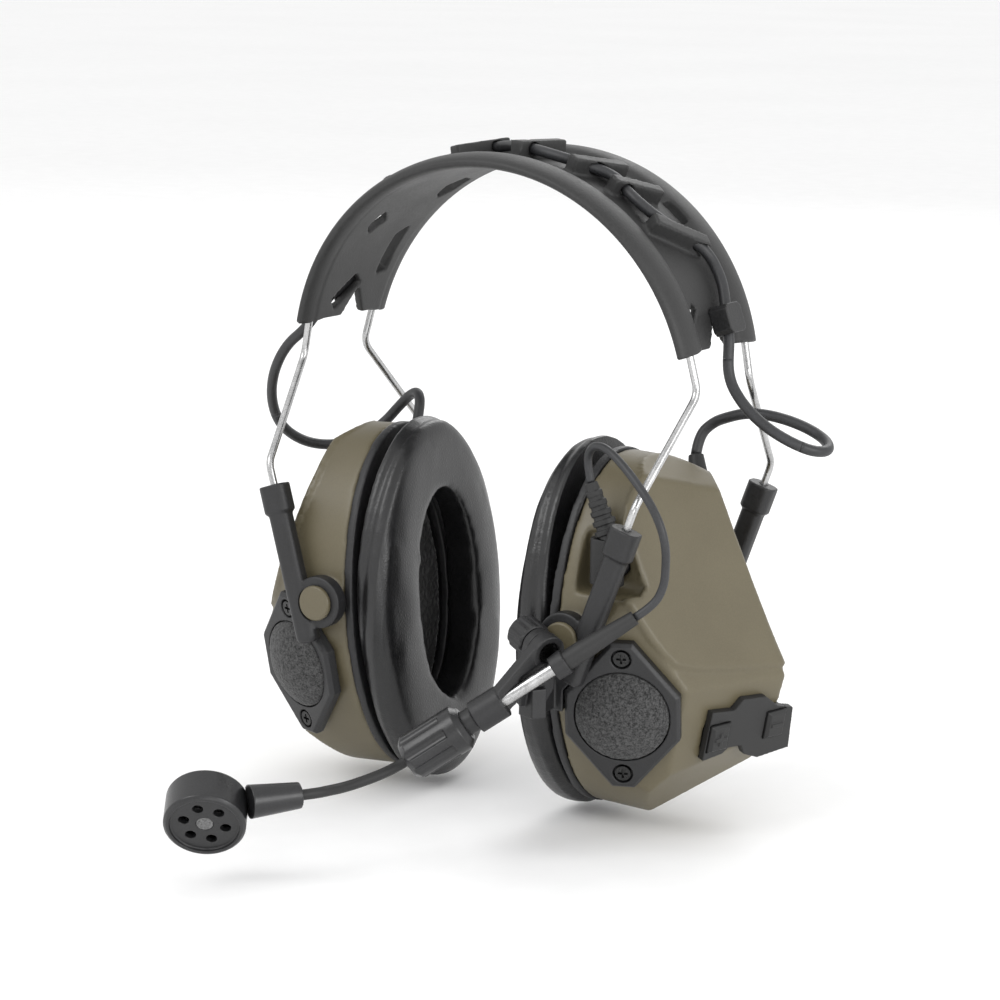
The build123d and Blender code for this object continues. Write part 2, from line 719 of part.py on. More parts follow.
# ---------------------------------------------------------------- boom

BOOM_PLANE = frame(BOOM_PIVOT, BOOM_PIVOT_AXIS, (0.443, 0.897, 0))
BRACKET_SPAN = (-1.3, 1.7)
LUG_SPAN = (-4.3, -1.6)
KNOB_SPAN = (-11.4, -4.6)
KNOB_D = 9.8
RING_R = 4.7


def rod_point(distance):
    """A point on the boom rod's axis."""
    return Vector(*ROD_START) + Vector(*ROD_AXIS).normalized() * distance


def on_boom(x, y, z_start, z_end, radius):
    """A cylinder parallel to the boom's pivot."""
    start = BOOM_PLANE.from_local_coords(Vector(x, y, z_start))
    end = BOOM_PLANE.from_local_coords(Vector(x, y, z_end))
    return between(start, end, radius)


def boom_outline(corners, z_start, z_end):
    """A flat piece square to the boom's pivot."""
    sketch = Pos(0, 0, z_start) * make_face(Polyline(*corners, close=True))
    return extrude(BOOM_PLANE * sketch, z_end - z_start)


def boom_mount():
    """The bracket on the front of the left cup, with the lug that the boom turns on."""
    foot = block((34.8, 40.0), (-39.9, -33.0), (-140.0, -128.5)) - CUP * cup_solid()
    plate = extrude(MIC_PLANE * offset(mic_outline(), 0.4), 8)
    foot -= CUP * plate
    arm_plan = (
        (29.6, -39.4), (34.9, -39.4), (35.2, -47.0), (38.2, -49.8), (35.8, -53.0), (30.2, -50.4),
    )
    arm_solid = extrude(Pos(0, 0, -139.5) * make_face(Polyline(*arm_plan, close=True)), 8.0)
    body = foot + arm_solid
    body += block((29.6, 35.4), (-39.9, -39.0), (-139.5, -128.5))
    body -= CUP * plate
    lug = boom_outline(((-4.4, 0), (4.4, 0), (6.5, -13), (4.5, -17), (-3.6, -17), (-5.0, -10)), *LUG_SPAN)
    lug += on_boom(0, 0, *LUG_SPAN, 4.4)
    body += lug
    body -= on_boom(0, 0, -8, 0, 1.6)
    return body


def boom_bracket():
    """The swinging arm: a ring on the pivot, a web and the collar that holds the rod."""
    collar_mid = BOOM_PLANE.to_local_coords(rod_point(20))
    reach = hypot(collar_mid.X, collar_mid.Y)
    side = Vector(-collar_mid.Y, collar_mid.X, 0) / reach
    far = Vector(collar_mid.X, collar_mid.Y, 0)
    corners = [side * 4.5, far + side * 3.4, far - side * 3.4, side * -4.5]
    body = boom_outline([(c.X, c.Y) for c in corners], *BRACKET_SPAN)
    body += on_boom(0, 0, BRACKET_SPAN[0], BRACKET_SPAN[1] + 0.5, RING_R)
    body += between(rod_point(COLLAR_SPAN[0]), rod_point(COLLAR_SPAN[1]), 4.4)
    body += between(rod_point(COLLAR_SPAN[1]), rod_point(NUT_SPAN[0] + 6), 3.4)
    body += between(rod_point(-4), rod_point(0), SLEEVE_D / 2 + SLEEVE_BAND)
    body -= between(rod_point(-10), rod_point(9), SLEEVE_D / 2)
    body -= between(rod_point(-10), rod_point(50), ROD_D / 2 + ROD_PLAY)
    body -= on_boom(0, 0, 0.4, 4, 2.9)
    body -= on_boom(0, 0, -3, 3, 1.6)
    return body


def boom_clamp_screw():
    """The screw through the bracket and the lug, into the knob."""
    return on_boom(0, 0, KNOB_SPAN[0] + 2.5, 0.4, 1.5) + on_boom(0, 0, 0.4, 1.6, 2.7)


def boom_knob():
    """The clamping knob on the inner side."""
    knob = on_boom(0, 0, *KNOB_SPAN, KNOB_D / 2)
    knob = chamfer(knob.edges(), 0.6)
    for turn in range(12):
        angle = radians(30 * turn)
        groove_r = KNOB_D / 2 + 0.4
        knob -= on_boom(groove_r * cos(angle), groove_r * sin(angle), KNOB_SPAN[0] - 1, KNOB_SPAN[1] + 1, 0.8)
    return knob - on_boom(0, 0, KNOB_SPAN[0] + 2.4, KNOB_SPAN[1] + 1, 1.6)


def boom_nut():
    """The grooved collet nut in front of the bracket."""
    start, end = NUT_SPAN
    nut = between(rod_point(start), rod_point(end), NUT_D / 2)
    nut = chamfer(nut.edges(), 1.6)
    grooves = Plane(origin=rod_point(start), z_dir=ROD_AXIS)
    for turn in range(8):
        angle = radians(45 * turn)
        foot = grooves.from_local_coords(Vector(7.0 * cos(angle), 7.0 * sin(angle), 5))
        tip = grooves.from_local_coords(Vector(7.0 * cos(angle), 7.0 * sin(angle), 20))
        nut -= between(foot, tip, 1.6)
    nut -= between(rod_point(start - 1), rod_point(start + 6.5), 3.5)
    return nut - between(rod_point(start), rod_point(end + 1), ROD_D / 2 + 0.1)


def boom_tube():
    """The steel tube, which slides in the sleeve and the collar."""
    bore_r = ROD_D / 2 - TUBE_WALL
    return between(rod_point(TUBE_TAIL), rod_point(41), ROD_D / 2) - between(
        rod_point(TUBE_TAIL - 1), rod_point(42), bore_r
    )


def boom_sleeve():
    """The rubber sleeve that guides the tail of the tube."""
    sleeve = between(rod_point(-SLEEVE_LENGTH), rod_point(-9), 1.9, SLEEVE_D / 2)
    sleeve += between(rod_point(-9), rod_point(0), SLEEVE_D / 2)
    return sleeve - between(rod_point(TUBE_TAIL - 1), rod_point(1), ROD_D / 2 + ROD_PLAY)


NECK_ROUTE = ((6.4, -81.0, -152.6), (2.8, -90.0, -154.0))
NECK_END = (-2.6, -103.7, -153.8)
ARM_END = (-10.4, -114.7, -154.1)


def gooseneck():
    """The flexible neck, plugged into the tube."""
    end = Vector(*NECK_END)
    before_end = end + (end - Vector(*ARM_END)).normalized() * 5
    points = [rod_point(41), rod_point(48)] + [Vector(*point) for point in NECK_ROUTE] + [before_end, end]
    neck = tube(cable_path(points), NECK_D)
    return neck + between(rod_point(36), rod_point(41), ROD_D / 2 - TUBE_WALL - ROD_PLAY)


def mic_arm():
    """The tapered arm between the neck and the capsule."""
    start = Vector(*NECK_END)
    end = Vector(*ARM_END)
    body = between(start, end, 3.4, 4.4)
    return body - capsule_cylinder(0.0, CAPSULE_D / 2 + 0.02)


def capsule_cylinder(margin, radius):
    """A cylinder on the capsule's axis, as deep as the capsule and margin longer each way."""
    axis = Vector(*CAPSULE_AXIS).normalized()
    face = Vector(*CAPSULE_FACE)
    return between(face + axis * margin, face - axis * (CAPSULE_T + margin), radius)


def mic_housing():
    """The round capsule, with a raised rim, a ring of sound holes and a central one."""
    axis = Vector(*CAPSULE_AXIS).normalized()
    face = Vector(*CAPSULE_FACE)
    body = capsule_cylinder(0, CAPSULE_D / 2)
    body = chamfer(body.edges(), 0.8)
    body -= between(face - axis * 1.0, face + axis, CAPSULE_D / 2 - 1.6)
    body -= between(face - axis * 8.6, face - axis * 3.0, CAPSULE_D / 2 - 2.0)
    plane = Plane(origin=face, z_dir=axis)
    for turn in range(6):
        angle = radians(60 * turn)
        hole = plane.from_local_coords(Vector(5.4 * cos(angle), 5.4 * sin(angle), 0))
        body -= between(hole + axis, hole - axis * 4, 1.35)
    return body - between(face + axis, face - axis * 4, 2.2)


def mic_element():
    """The pickup in the capsule, up to the central hole."""
    axis = Vector(*CAPSULE_AXIS).normalized()
    face = Vector(*CAPSULE_FACE)
    element = between(face - axis * 3.2, face - axis * 8.6, 5.0)
    return element + between(face - axis * 1.2, face - axis * 3.2, 2.1)


# ---------------------------------------------------------------- battery compartment

DOOR_HINGE_Y = -DOOR_H / 2 + DOOR_T / 2


def battery_door():
    """A flush door with a rounded hinge edge and a stub at each end of it."""
    plate = Pos(0, DOOR_T / 4, -DOOR_T / 2) * Box(DOOR_W, DOOR_H - DOOR_T / 2, DOOR_T)
    place = Pos(0, DOOR_HINGE_Y, -DOOR_T / 2) * Rot(Y=90)
    door = plate + place * Cylinder(DOOR_T / 2, DOOR_W)
    door += place * Cylinder(0.5, DOOR_W + 3.0)
    door -= Pos(0, 4.5, 0.4) * Box(9, 2.2, 1.4)
    return DOOR_PLANE.location * door


def batteries():
    """Two AAA cells, upright behind the circuit board."""
    cells = []
    for y in BATTERY_Y:
        cell = between((BATTERY_X, y, BATTERY_Z), (BATTERY_X, y, BATTERY_Z + BATTERY_L - 0.8), BATTERY_D / 2)
        cell += between((BATTERY_X, y, BATTERY_Z + 43), (BATTERY_X, y, BATTERY_Z + BATTERY_L), 1.9)
        cells.append(cell)
    return Compound(children=[solid for cell in cells for solid in cell.solids()])


BATTERY_X = 22.0
BATTERY_Y = (-1.0, 10.5)
BATTERY_Z = -31.0


def battery_contacts():
    """The cradle: a back plate on the board and a contact wall at each end of the cells."""
    low = BATTERY_Z - 0.3
    high = BATTERY_Z + BATTERY_L + 0.3
    back_x = BATTERY_X - BATTERY_D / 2 - 0.2
    plate = block((BOARD_X + BOARD_T, back_x), (-5.5, 15.0), (low - 1, high + 1))
    plate += block((back_x, 25.0), (-5.5, 15.0), (low - 1, low))
    return plate + block((back_x, 24.0), (-5.5, 15.0), (high, high + 1))


# ---------------------------------------------------------------- free cables

LEFT_LOOP = (
    (62.6, 1.4, -53.5), (67.6, 0.6, -60.2), (74.0, 0.8, -65.4), (80.6, 2.4, -69.2), (86.0, 6.0, -71.9),
    (88.2, 11.6, -72.4), (85.4, 16.6, -70.8), (79.8, 18.8, -68.6), (73.2, 18.9, -66.6), (66.4, 18.2, -65.4),
    (60.0, 18.0, -65.6), (54.2, 19.0, -67.4), (49.2, 20.4, -69.4),
)
RIGHT_LOOP = (
    (-65.8, -9.5, -49.5), (-73.1, -9.0, -55.0), (-79.0, -7.0, -63.5), (-82.6, -3.0, -72.5),
    (-83.2, 2.4, -80.8), (-79.4, 8.6, -86.0), (-73.1, 14.2, -87.4), (-66.2, 19.0, -85.4),
    (-60.4, 22.6, -80.8), (-56.0, 24.4, -75.2), (-51.6, 23.8, -71.2), (-47.6, 21.6, -70.0),
)
MIC_CABLE = (
    (40.6, -34.4, -71.4), (43.5, -36.5, -68.4), (48.4, -38.8, -68.3), (54.4, -41.0, -71.6),
    (60.5, -43.0, -76.4), (65.1, -44.2, -81.1), (68.1, -44.4, -86.3), (69.0, -43.4, -91.8),
    (68.2, -41.8, -97.2), (67.2, -40.6, -102.2),
)
LEFT_SPLIT = 4
RIGHT_SPLIT = 4
EXIT_RUN = 5.5


def halfway(a, b):
    """The middle of a run, where one length of cable meets the next."""
    return (Vector(*a) + Vector(*b)) / 2


def loop_routes(exit_point, points, side, split_at):
    """The loop in two lengths: from the band to its middle, and from there to the cup's gland."""
    tip = Vector(side * GLAND_TIP[0], GLAND_TIP[1], GLAND_TIP[2])
    base = cup_point(*GLAND_BASE)
    along = (tip - Vector(side * base.X, base.Y, base.Z)).normalized()
    middle = halfway(points[split_at - 1], points[split_at])
    upper = [Vector(*exit_point)] + [Vector(*p) for p in points[:split_at]] + [middle]
    lower = [middle] + [Vector(*p) for p in points[split_at:]] + [tip + along * EXIT_RUN, tip]
    return upper, lower


def write_cable(name, points, diameter):
    """Write one length of cable and print what it measures."""
    solid = tube(cable_path(points), diameter)
    describe_cable(name, points, diameter, solid)
    write(name, solid)


# ---------------------------------------------------------------- build

def main():
    os.makedirs("parts", exist_ok=True)

    band_points = headband_cable_points()
    band_path = cable_path(band_points)
    tunnel = tube(band_path, CABLE_D + 2 * TUNNEL_PLAY)
    write_cable("headband_cable", band_points, CABLE_D)
    write("headband_pad", headband_pad(tunnel))
    write("front_headband_wire", wire(-1))
    write("rear_headband_wire", wire(1))
    write("left_cable_clip", cable_clip(71, 4) - tunnel)
    write("right_cable_clip", cable_clip(-70, -1) - tunnel)

    both_sides("front_arm", arm(-1))
    both_sides("rear_arm", arm(1))
    pins = [solid for side in (-1, 1) for solid in pivot_pin(side).solids()]
    both_sides("pivot_pins", Compound(children=pins))

    write("left_shell", shell("left"))
    write("right_shell", mirror(shell("right"), about=Plane.YZ))
    both_sides("base_ring", CUP * base_ring())
    both_sides("cushion", CUP * cushion())
    both_sides("ear_foam", CUP * ear_foam())
    both_sides("speaker", CUP * speaker())
    both_sides("circuit_board", CUP * circuit_board())
    both_sides("mic_frame", CUP * mic_frame())
    both_sides("mic_foam", CUP * mic_foam())
    both_sides("mic_screws", CUP * mic_screws())
    both_sides("ambient_mic", CUP * ambient_mic())
    both_sides("cable_gland", CUP * cable_gland())

    write("keypad_panel", CUP * keypad_panel())
    write("plus_button", CUP * key_button(KEY_X[0], ((4.0, 1.1), (1.1, 4.0))))
    write("minus_button", CUP * key_button(KEY_X[1], ((4.0, 1.1),)))
    write("key_switches", CUP * key_switches())
    write("mic_socket", CUP * mic_socket())
    write("mic_plug", CUP * mic_plug())
    write("mic_plug_boot", mic_plug_boot())

    write("boom_mount", boom_mount())
    write("boom_bracket", boom_bracket())
    write("boom_clamp_screw", boom_clamp_screw())
    write("boom_knob", boom_knob())
    write("boom_nut", boom_nut())
    write("boom_tube", boom_tube())
    write("boom_sleeve", boom_sleeve())
    write("gooseneck", gooseneck())
    write("mic_arm", mic_arm())
    write("mic_housing", mic_housing())
    write("mic_element", mic_element())

    write("battery_door", mirror(CUP * battery_door(), about=Plane.YZ))
    write("batteries", mirror(CUP * batteries(), about=Plane.YZ))
    write("battery_contacts", mirror(CUP * battery_contacts(), about=Plane.YZ))

    upper, lower = loop_routes(band_points[0], LEFT_LOOP, 1, LEFT_SPLIT)
    write_cable("left_loop_upper", upper, CABLE_D)
    write_cable("left_loop_lower", lower, CABLE_D)
    upper, lower = loop_routes(band_points[-1], RIGHT_LOOP, -1, RIGHT_SPLIT)
    write_cable("right_loop_upper", upper, CABLE_D)
    write_cable("right_loop_lower", lower, CABLE_D)
    tip = Vector(*BOOT_TIP)
    boot_exit = tip + (tip - boot_base()).normalized() * 4
    sleeve_exit = rod_point(-SLEEVE_LENGTH - 6)
    mic_route = [tip, boot_exit] + [Vector(*p) for p in MIC_CABLE] + [sleeve_exit, rod_point(-SLEEVE_LENGTH)]
    write_cable("mic_cable", mic_route, MIC_CABLE_D)


main()
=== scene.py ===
import json
import math

import bmesh
import bpy
from mathutils import Matrix, Vector, noise


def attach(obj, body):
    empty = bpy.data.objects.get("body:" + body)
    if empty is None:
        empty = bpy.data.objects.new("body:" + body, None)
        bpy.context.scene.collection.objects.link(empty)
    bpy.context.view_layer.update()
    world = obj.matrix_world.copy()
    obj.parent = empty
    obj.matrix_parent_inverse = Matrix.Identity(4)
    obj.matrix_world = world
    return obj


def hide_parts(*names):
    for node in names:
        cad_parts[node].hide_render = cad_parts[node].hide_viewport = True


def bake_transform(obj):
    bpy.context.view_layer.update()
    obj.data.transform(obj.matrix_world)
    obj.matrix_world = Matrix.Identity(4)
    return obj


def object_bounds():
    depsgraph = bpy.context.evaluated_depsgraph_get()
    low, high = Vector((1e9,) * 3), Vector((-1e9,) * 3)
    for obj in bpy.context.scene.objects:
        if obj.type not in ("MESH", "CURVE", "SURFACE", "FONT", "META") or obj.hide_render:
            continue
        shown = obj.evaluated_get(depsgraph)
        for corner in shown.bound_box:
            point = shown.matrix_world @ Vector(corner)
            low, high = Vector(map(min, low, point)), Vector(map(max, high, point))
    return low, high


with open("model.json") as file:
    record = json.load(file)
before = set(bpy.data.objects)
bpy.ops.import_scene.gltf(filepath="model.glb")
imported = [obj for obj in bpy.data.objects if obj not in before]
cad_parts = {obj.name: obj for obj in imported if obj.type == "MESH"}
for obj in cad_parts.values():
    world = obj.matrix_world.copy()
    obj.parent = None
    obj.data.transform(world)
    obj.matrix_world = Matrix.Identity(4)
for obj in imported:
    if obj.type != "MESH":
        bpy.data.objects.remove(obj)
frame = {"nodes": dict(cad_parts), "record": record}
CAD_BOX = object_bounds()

MM = 0.001

# The left cup's own axes, outward, rearward and upward, the origin on its seam, and sizes in mm
CUP_OUT = Vector((0.99848569, -0.02906747, 0.04670565))
CUP_BACK = Vector((0.02556025, 0.99692989, 0.07400996))
CUP_UP = Vector((-0.04871354, -0.07270408, 0.99616319))
CUP_ORIGIN = Vector((34.4, -5.0, -123.7)) * MM
CUSHION_FACE = -13.9
CUSHION_FOOT = -2.6
CUSHION_HALF_SIZE = (33.5, 52.0)
EAR_CENTRE = (2.2, 0.9)
KNIT_PITCH = 2.2
HOOD_LIFT = 1.25
CUSHION_TRAVEL = 0.9
CUPS = ((1, "left"), (-1, "right"))


# ---------------------------------------------------------------- materials


def tone(red, green=None, blue=None):
    """A linear colour from 8-bit display values."""
    values = (red, green, blue) if green is not None else (red, red, red)
    return tuple(((v / 255 + 0.055) / 1.055) ** 2.4 for v in values) + (1.0,)


def finish_of(name, dark, light, rough, grain, bump, patch=14.0, metallic=0.0, coat=0.0, sheen=0.0,
              cells=False, contrast=0.22, rough_swing=0.1):
    """A procedural material. grain and patch are the sizes, in mm, of its fine and broad variation."""
    mat = bpy.data.materials.new(name)
    mat.use_nodes = True
    nodes, links = mat.node_tree.nodes, mat.node_tree.links
    shader = nodes["Principled BSDF"]
    shader.inputs["Metallic"].default_value = metallic
    shader.inputs["Coat Weight"].default_value = coat
    shader.inputs["Coat Roughness"].default_value = 0.25
    shader.inputs["Sheen Weight"].default_value = sheen
    shader.inputs["Sheen Roughness"].default_value = 0.5
    place = nodes.new("ShaderNodeTexCoord")
    broad = nodes.new("ShaderNodeTexNoise")
    broad.inputs["Scale"].default_value = 1 / (patch * MM)
    broad.inputs["Detail"].default_value = 4
    fine = nodes.new("ShaderNodeTexNoise")
    fine.inputs["Scale"].default_value = 1 / (grain * MM)
    fine.inputs["Detail"].default_value = 3
    for texture in (broad, fine):
        links.new(place.outputs["Object"], texture.inputs["Vector"])
    blend = nodes.new("ShaderNodeMix")
    blend.inputs[0].default_value = 0.55
    links.new(broad.outputs["Fac"], blend.inputs[2])
    links.new(fine.outputs["Fac"], blend.inputs[3])
    ramp = nodes.new("ShaderNodeValToRGB")
    ramp.color_ramp.elements[0].position = 0.5 - contrast
    ramp.color_ramp.elements[1].position = 0.5 + contrast
    ramp.color_ramp.elements[0].color = dark
    ramp.color_ramp.elements[1].color = light
    links.new(blend.outputs[0], ramp.inputs["Fac"])
    links.new(ramp.outputs["Color"], shader.inputs["Base Color"])
    spread = nodes.new("ShaderNodeMapRange")
    spread.inputs["From Min"].default_value = 0.3
    spread.inputs["From Max"].default_value = 0.7
    spread.inputs["To Min"].default_value = rough - rough_swing
    spread.inputs["To Max"].default_value = rough + rough_swing
    links.new(blend.outputs[0], spread.inputs["Value"])
    links.new(spread.outputs["Result"], shader.inputs["Roughness"])
    height = fine.outputs["Fac"]
    if cells:
        cell = nodes.new("ShaderNodeTexVoronoi")
        cell.feature = "DISTANCE_TO_EDGE"
        cell.inputs["Scale"].default_value = 1 / (grain * 1.6 * MM)
        links.new(place.outputs["Object"], cell.inputs["Vector"])
        height = cell.outputs["Distance"]
    relief = nodes.new("ShaderNodeBump")
    relief.inputs["Strength"].default_value = bump
    relief.inputs["Distance"].default_value = grain * 0.4 * MM
    links.new(height, relief.inputs["Height"])
    links.new(relief.outputs["Normal"], shader.inputs["Normal"])
    return mat


MATERIALS = {
    "band_rubber": finish_of("moulded_rubber", tone(27), tone(47), 0.55, 0.6, 0.25),
    "steel": finish_of("drawn_steel", tone(150), tone(212), 0.28, 0.4, 0.06, metallic=1.0, patch=6.0),
    "cable_jacket": finish_of("cable_jacket", tone(30), tone(50, 51, 54), 0.46, 0.5, 0.12, patch=9.0),
    "black_plastic": finish_of("textured_black", tone(18), tone(37, 37, 39), 0.48, 0.45, 0.35),
    "olive_plastic": finish_of("olive_shell", tone(84, 77, 59), tone(101, 94, 73), 0.42, 0.35, 0.14,
                               patch=22.0, contrast=0.3),
    "cushion_skin": finish_of("cushion_leather", tone(8), tone(23, 23, 25), 0.36, 0.55, 0.35,
                              coat=0.18, cells=True),
    "liner_mesh": finish_of("open_knit", tone(8), tone(42), 0.8, 1.5, 0.9, sheen=0.2, cells=True,
                            contrast=0.12),
    "foam": finish_of("open_cell_foam", tone(16), tone(78), 0.92, 0.42, 0.9, sheen=0.1, contrast=0.12,
                      patch=0.9, rough_swing=0.05),
    "speaker_metal": finish_of("speaker_metal", tone(90), tone(160), 0.35, 0.5, 0.1, metallic=1.0),
    "board": finish_of("solder_mask", tone(14, 62, 36), tone(24, 92, 54), 0.3, 0.8, 0.1, coat=0.3),
    "screw_metal": finish_of("black_zinc", tone(34), tone(78), 0.32, 0.3, 0.1, metallic=1.0),
    "soft_rubber": finish_of("soft_rubber", tone(18), tone(38), 0.55, 0.4, 0.25),
    "smooth_plastic": finish_of("satin_black", tone(19), tone(39, 39, 41), 0.36, 0.5, 0.12, coat=0.1),
    "battery": finish_of("cell_sleeve", tone(60), tone(110), 0.35, 0.6, 0.06, metallic=0.4),
}
BODY_OF = {node: body for body, nodes in frame["record"]["behaviour"]["bodies"].items() for node in nodes}
SLOT_OF = {row["node"]: row["material_slot"] for row in frame["record"]["subparts"]}


# ---------------------------------------------------------------- helpers


def link(name, data):
    """A new object in the scene."""
    piece = bpy.data.objects.new(name, data)
    bpy.context.scene.collection.objects.link(piece)
    return piece


def settle(piece):
    """Applies every modifier."""
    graph = bpy.context.evaluated_depsgraph_get()
    graph.update()
    mesh = bpy.data.meshes.new_from_object(piece.evaluated_get(graph))
    piece.modifiers.clear()
    piece.data = mesh
    return piece


def rounded(node, voxel, passes):
    """A copy of a CAD node's shape with moulded, softened edges. voxel is in mm."""
    piece = link(node + "_form", frame["nodes"][node].data.copy())
    weld = piece.modifiers.new("weld", "WELD")
    weld.merge_threshold = 1e-6
    remesh = piece.modifiers.new("remesh", "REMESH")
    remesh.mode = "VOXEL"
    remesh.voxel_size = voxel * MM
    remesh.use_smooth_shade = True
    soften = piece.modifiers.new("soften", "SMOOTH")
    soften.factor = 0.5
    soften.iterations = passes
    return settle(piece)


def dress(piece, slot, body, *nodes):
    """Gives a piece its finish and body, and hides the nodes it stands for."""
    piece.data.materials.clear()
    piece.data.materials.append(MATERIALS[slot])
    piece.data.polygons.foreach_set("use_smooth", [True] * len(piece.data.polygons))
    if body:
        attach(piece, body)
    if nodes:
        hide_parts(*nodes)
    return piece


def reshape(piece, move):
    """Moves every vertex to move(place, normal)."""
    mesh = piece.data
    places = [vertex.co.copy() for vertex in mesh.vertices]
    normals = [vertex.normal.copy() for vertex in mesh.vertices]
    flat = [value for place, normal in zip(places, normals) for value in move(place, normal)]
    mesh.vertices.foreach_set("co", flat)
    mesh.update()


def to_cup(point, side):
    """A point in the cup's own frame, in mm. side is 1 for the left cup and -1 for the right one."""
    local = Vector((point.x * side, point.y, point.z)) - CUP_ORIGIN
    return Vector((local.dot(CUP_OUT), local.dot(CUP_BACK), local.dot(CUP_UP))) / MM


def from_cup(local, side):
    """The row's point for a point in the cup's own frame."""
    point = CUP_ORIGIN + (CUP_OUT * local.x + CUP_BACK * local.y + CUP_UP * local.z) * MM
    return Vector((point.x * side, point.y, point.z))


def ease(value):
    """0 to 1 with a soft start and end."""
    value = max(0.0, min(1.0, value))
    return value * value * (3 - 2 * value)


# ---------------------------------------------------------------- camera, floor and light


def aim(azimuth, elevation, roll, place, lens):
    """A camera that looks back along azimuth and elevation, in degrees."""
    az, el, turn = (math.radians(angle) for angle in (azimuth, elevation, roll))
    back = Vector((math.sin(az) * math.cos(el), -math.cos(az) * math.cos(el), math.sin(el)))
    right = Vector((math.cos(az), math.sin(az), 0))
    up = back.cross(right)
    rolled = right * math.cos(turn) + up * math.sin(turn)
    data = bpy.data.cameras.new("camera")
    data.lens = lens
    data.sensor_width = 36
    data.clip_start = 0.01
    camera = bpy.data.objects.new("camera", data)
    bpy.context.scene.collection.objects.link(camera)
    turned = Matrix((rolled, back.cross(rolled), back)).transposed()
    camera.matrix_world = Matrix.Translation(place) @ turned.to_4x4()
    bpy.context.scene.camera = camera


def lamp(name, place, target, size, watts):
    """A square soft light that faces target."""
    data = bpy.data.lights.new(name, "AREA")
    data.shape = "SQUARE"
    data.size = size
    data.energy = watts
    light = bpy.data.objects.new(name, data)
    bpy.context.scene.collection.objects.link(light)
    light.location = place
    light.rotation_euler = (Vector(target) - Vector(place)).to_track_quat("-Z", "Y").to_euler()


def studio():
    """A plain pale floor under soft light."""
    aim(30.94, 10.81, 0.77, Vector((427.3, -723.8, 67.0)) * MM, 110.7)
    mesh = bpy.data.meshes.new("floor")
    form = bmesh.new()
    bmesh.ops.create_circle(form, cap_ends=True, segments=96, radius=12)
    form.to_mesh(mesh)
    form.free()
    floor = link("floor", mesh)
    floor.location.z = CAD_BOX[0][2] - 0.002
    floor.data.materials.append(finish_of("pale_floor", tone(244), tone(250), 0.85, 20.0, 0.02, patch=400.0))
    world = bpy.data.worlds.new("world")
    world.use_nodes = True
    world.node_tree.nodes["Background"].inputs["Color"].default_value = (1.0, 1.0, 1.0, 1.0)
    world.node_tree.nodes["Background"].inputs["Strength"].default_value = 1.0
    bpy.context.scene.world = world
    centre = (0.0, -0.03, -0.09)
    lamp("key", (-0.5, -1.1, 0.9), centre, 0.7, 7)
    lamp("side", (1.3, -0.3, 0.25), centre, 0.6, 6)
    lamp("low", (0.7, -0.9, -0.12), centre, 0.3, 1.5)
    lamp("back", (-0.2, 1.2, 0.8), centre, 0.8, 5)
    bpy.context.scene.view_settings.view_transform = "Standard"


# ---------------------------------------------------------------- cords


def cord_line(name, points):
    """The points of a cord's own line: one smooth spline that follows its route, given in mm."""
    data = bpy.data.curves.new(name, "CURVE")
    data.dimensions = "3D"
    spline = data.splines.new("NURBS")
    spline.points.add(len(points) - 1)
    for control, point in zip(spline.points, points):
        control.co = (*(Vector(point) * MM), 1.0)
    spline.order_u = 3
    spline.use_endpoint_u = True
    spline.resolution_u = 8
    data.resolution_u = 8
    piece = link(name, data)
    graph = bpy.context.evaluated_depsgraph_get()
    line = bpy.data.meshes.new_from_object(piece.evaluated_get(graph))
    path = [vertex.co.copy() for vertex in line.vertices]
    bpy.data.objects.remove(piece)
    return path


def tube_along(name, path, radius, sides=20):
    """A closed tube along a path."""
    form = bmesh.new()
    rings = []
    heading = (path[1] - path[0]).normalized()
    across = heading.orthogonal().normalized()
    for index, point in enumerate(path):
        before = path[max(index - 1, 0)]
        after = path[min(index + 1, len(path) - 1)]
        heading = (after - before).normalized()
        across = (across - heading * across.dot(heading)).normalized()
        other = heading.cross(across)
        ring = []
        for step in range(sides):
            angle = 2 * math.pi * step / sides
            ring.append(form.verts.new(point + (across * math.cos(angle) + other * math.sin(angle)) * radius))
        rings.append(ring)
    for first, second in zip(rings, rings[1:]):
        for step in range(sides):
            after = (step + 1) % sides
            form.faces.new((first[step], first[after], second[after], second[step]))
    form.faces.new(list(reversed(rings[0])))
    form.faces.new(rings[-1])
    mesh = bpy.data.meshes.new(name)
    form.to_mesh(mesh)
    form.free()
    return link(name, mesh)


LEFT_UPPER = (
    (62.4, 2.0, -48.65), (62.6, 1.4, -53.5), (67.6, 0.6, -60.2), (74.0, 0.8, -65.4), (80.6, 2.4, -69.2),
    (83.3, 4.2, -70.55),
)
LEFT_LOWER = (
    (83.3, 4.2, -70.55), (86.0, 6.0, -71.9), (88.2, 11.6, -72.4), (85.4, 16.6, -70.8), (79.8, 18.8, -68.6),
    (73.2, 18.9, -66.6), (66.4, 18.2, -65.4), (60.0, 18.0, -65.6), (54.2, 19.0, -67.4), (49.2, 20.4, -69.4),
    (45.38, 19.22, -73.27), (45.5, 17.5, -78.5),
)
RIGHT_UPPER = (
    (-64.0, -8.75, -46.65), (-65.8, -9.5, -49.5), (-73.1, -9.0, -55.0), (-79.0, -7.0, -63.5),
    (-82.6, -3.0, -72.5), (-82.9, -0.3, -76.65),
)
RIGHT_LOWER = (
    (-82.9, -0.3, -76.65), (-83.2, 2.4, -80.8), (-79.4, 8.6, -86.0), (-73.1, 14.2, -87.4),
    (-66.2, 19.0, -85.4), (-60.4, 22.6, -80.8), (-56.0, 24.4, -75.2), (-51.6, 23.8, -71.2),
    (-47.6, 21.6, -70.0), (-45.38, 19.22, -73.27), (-45.5, 17.5, -78.5),
)
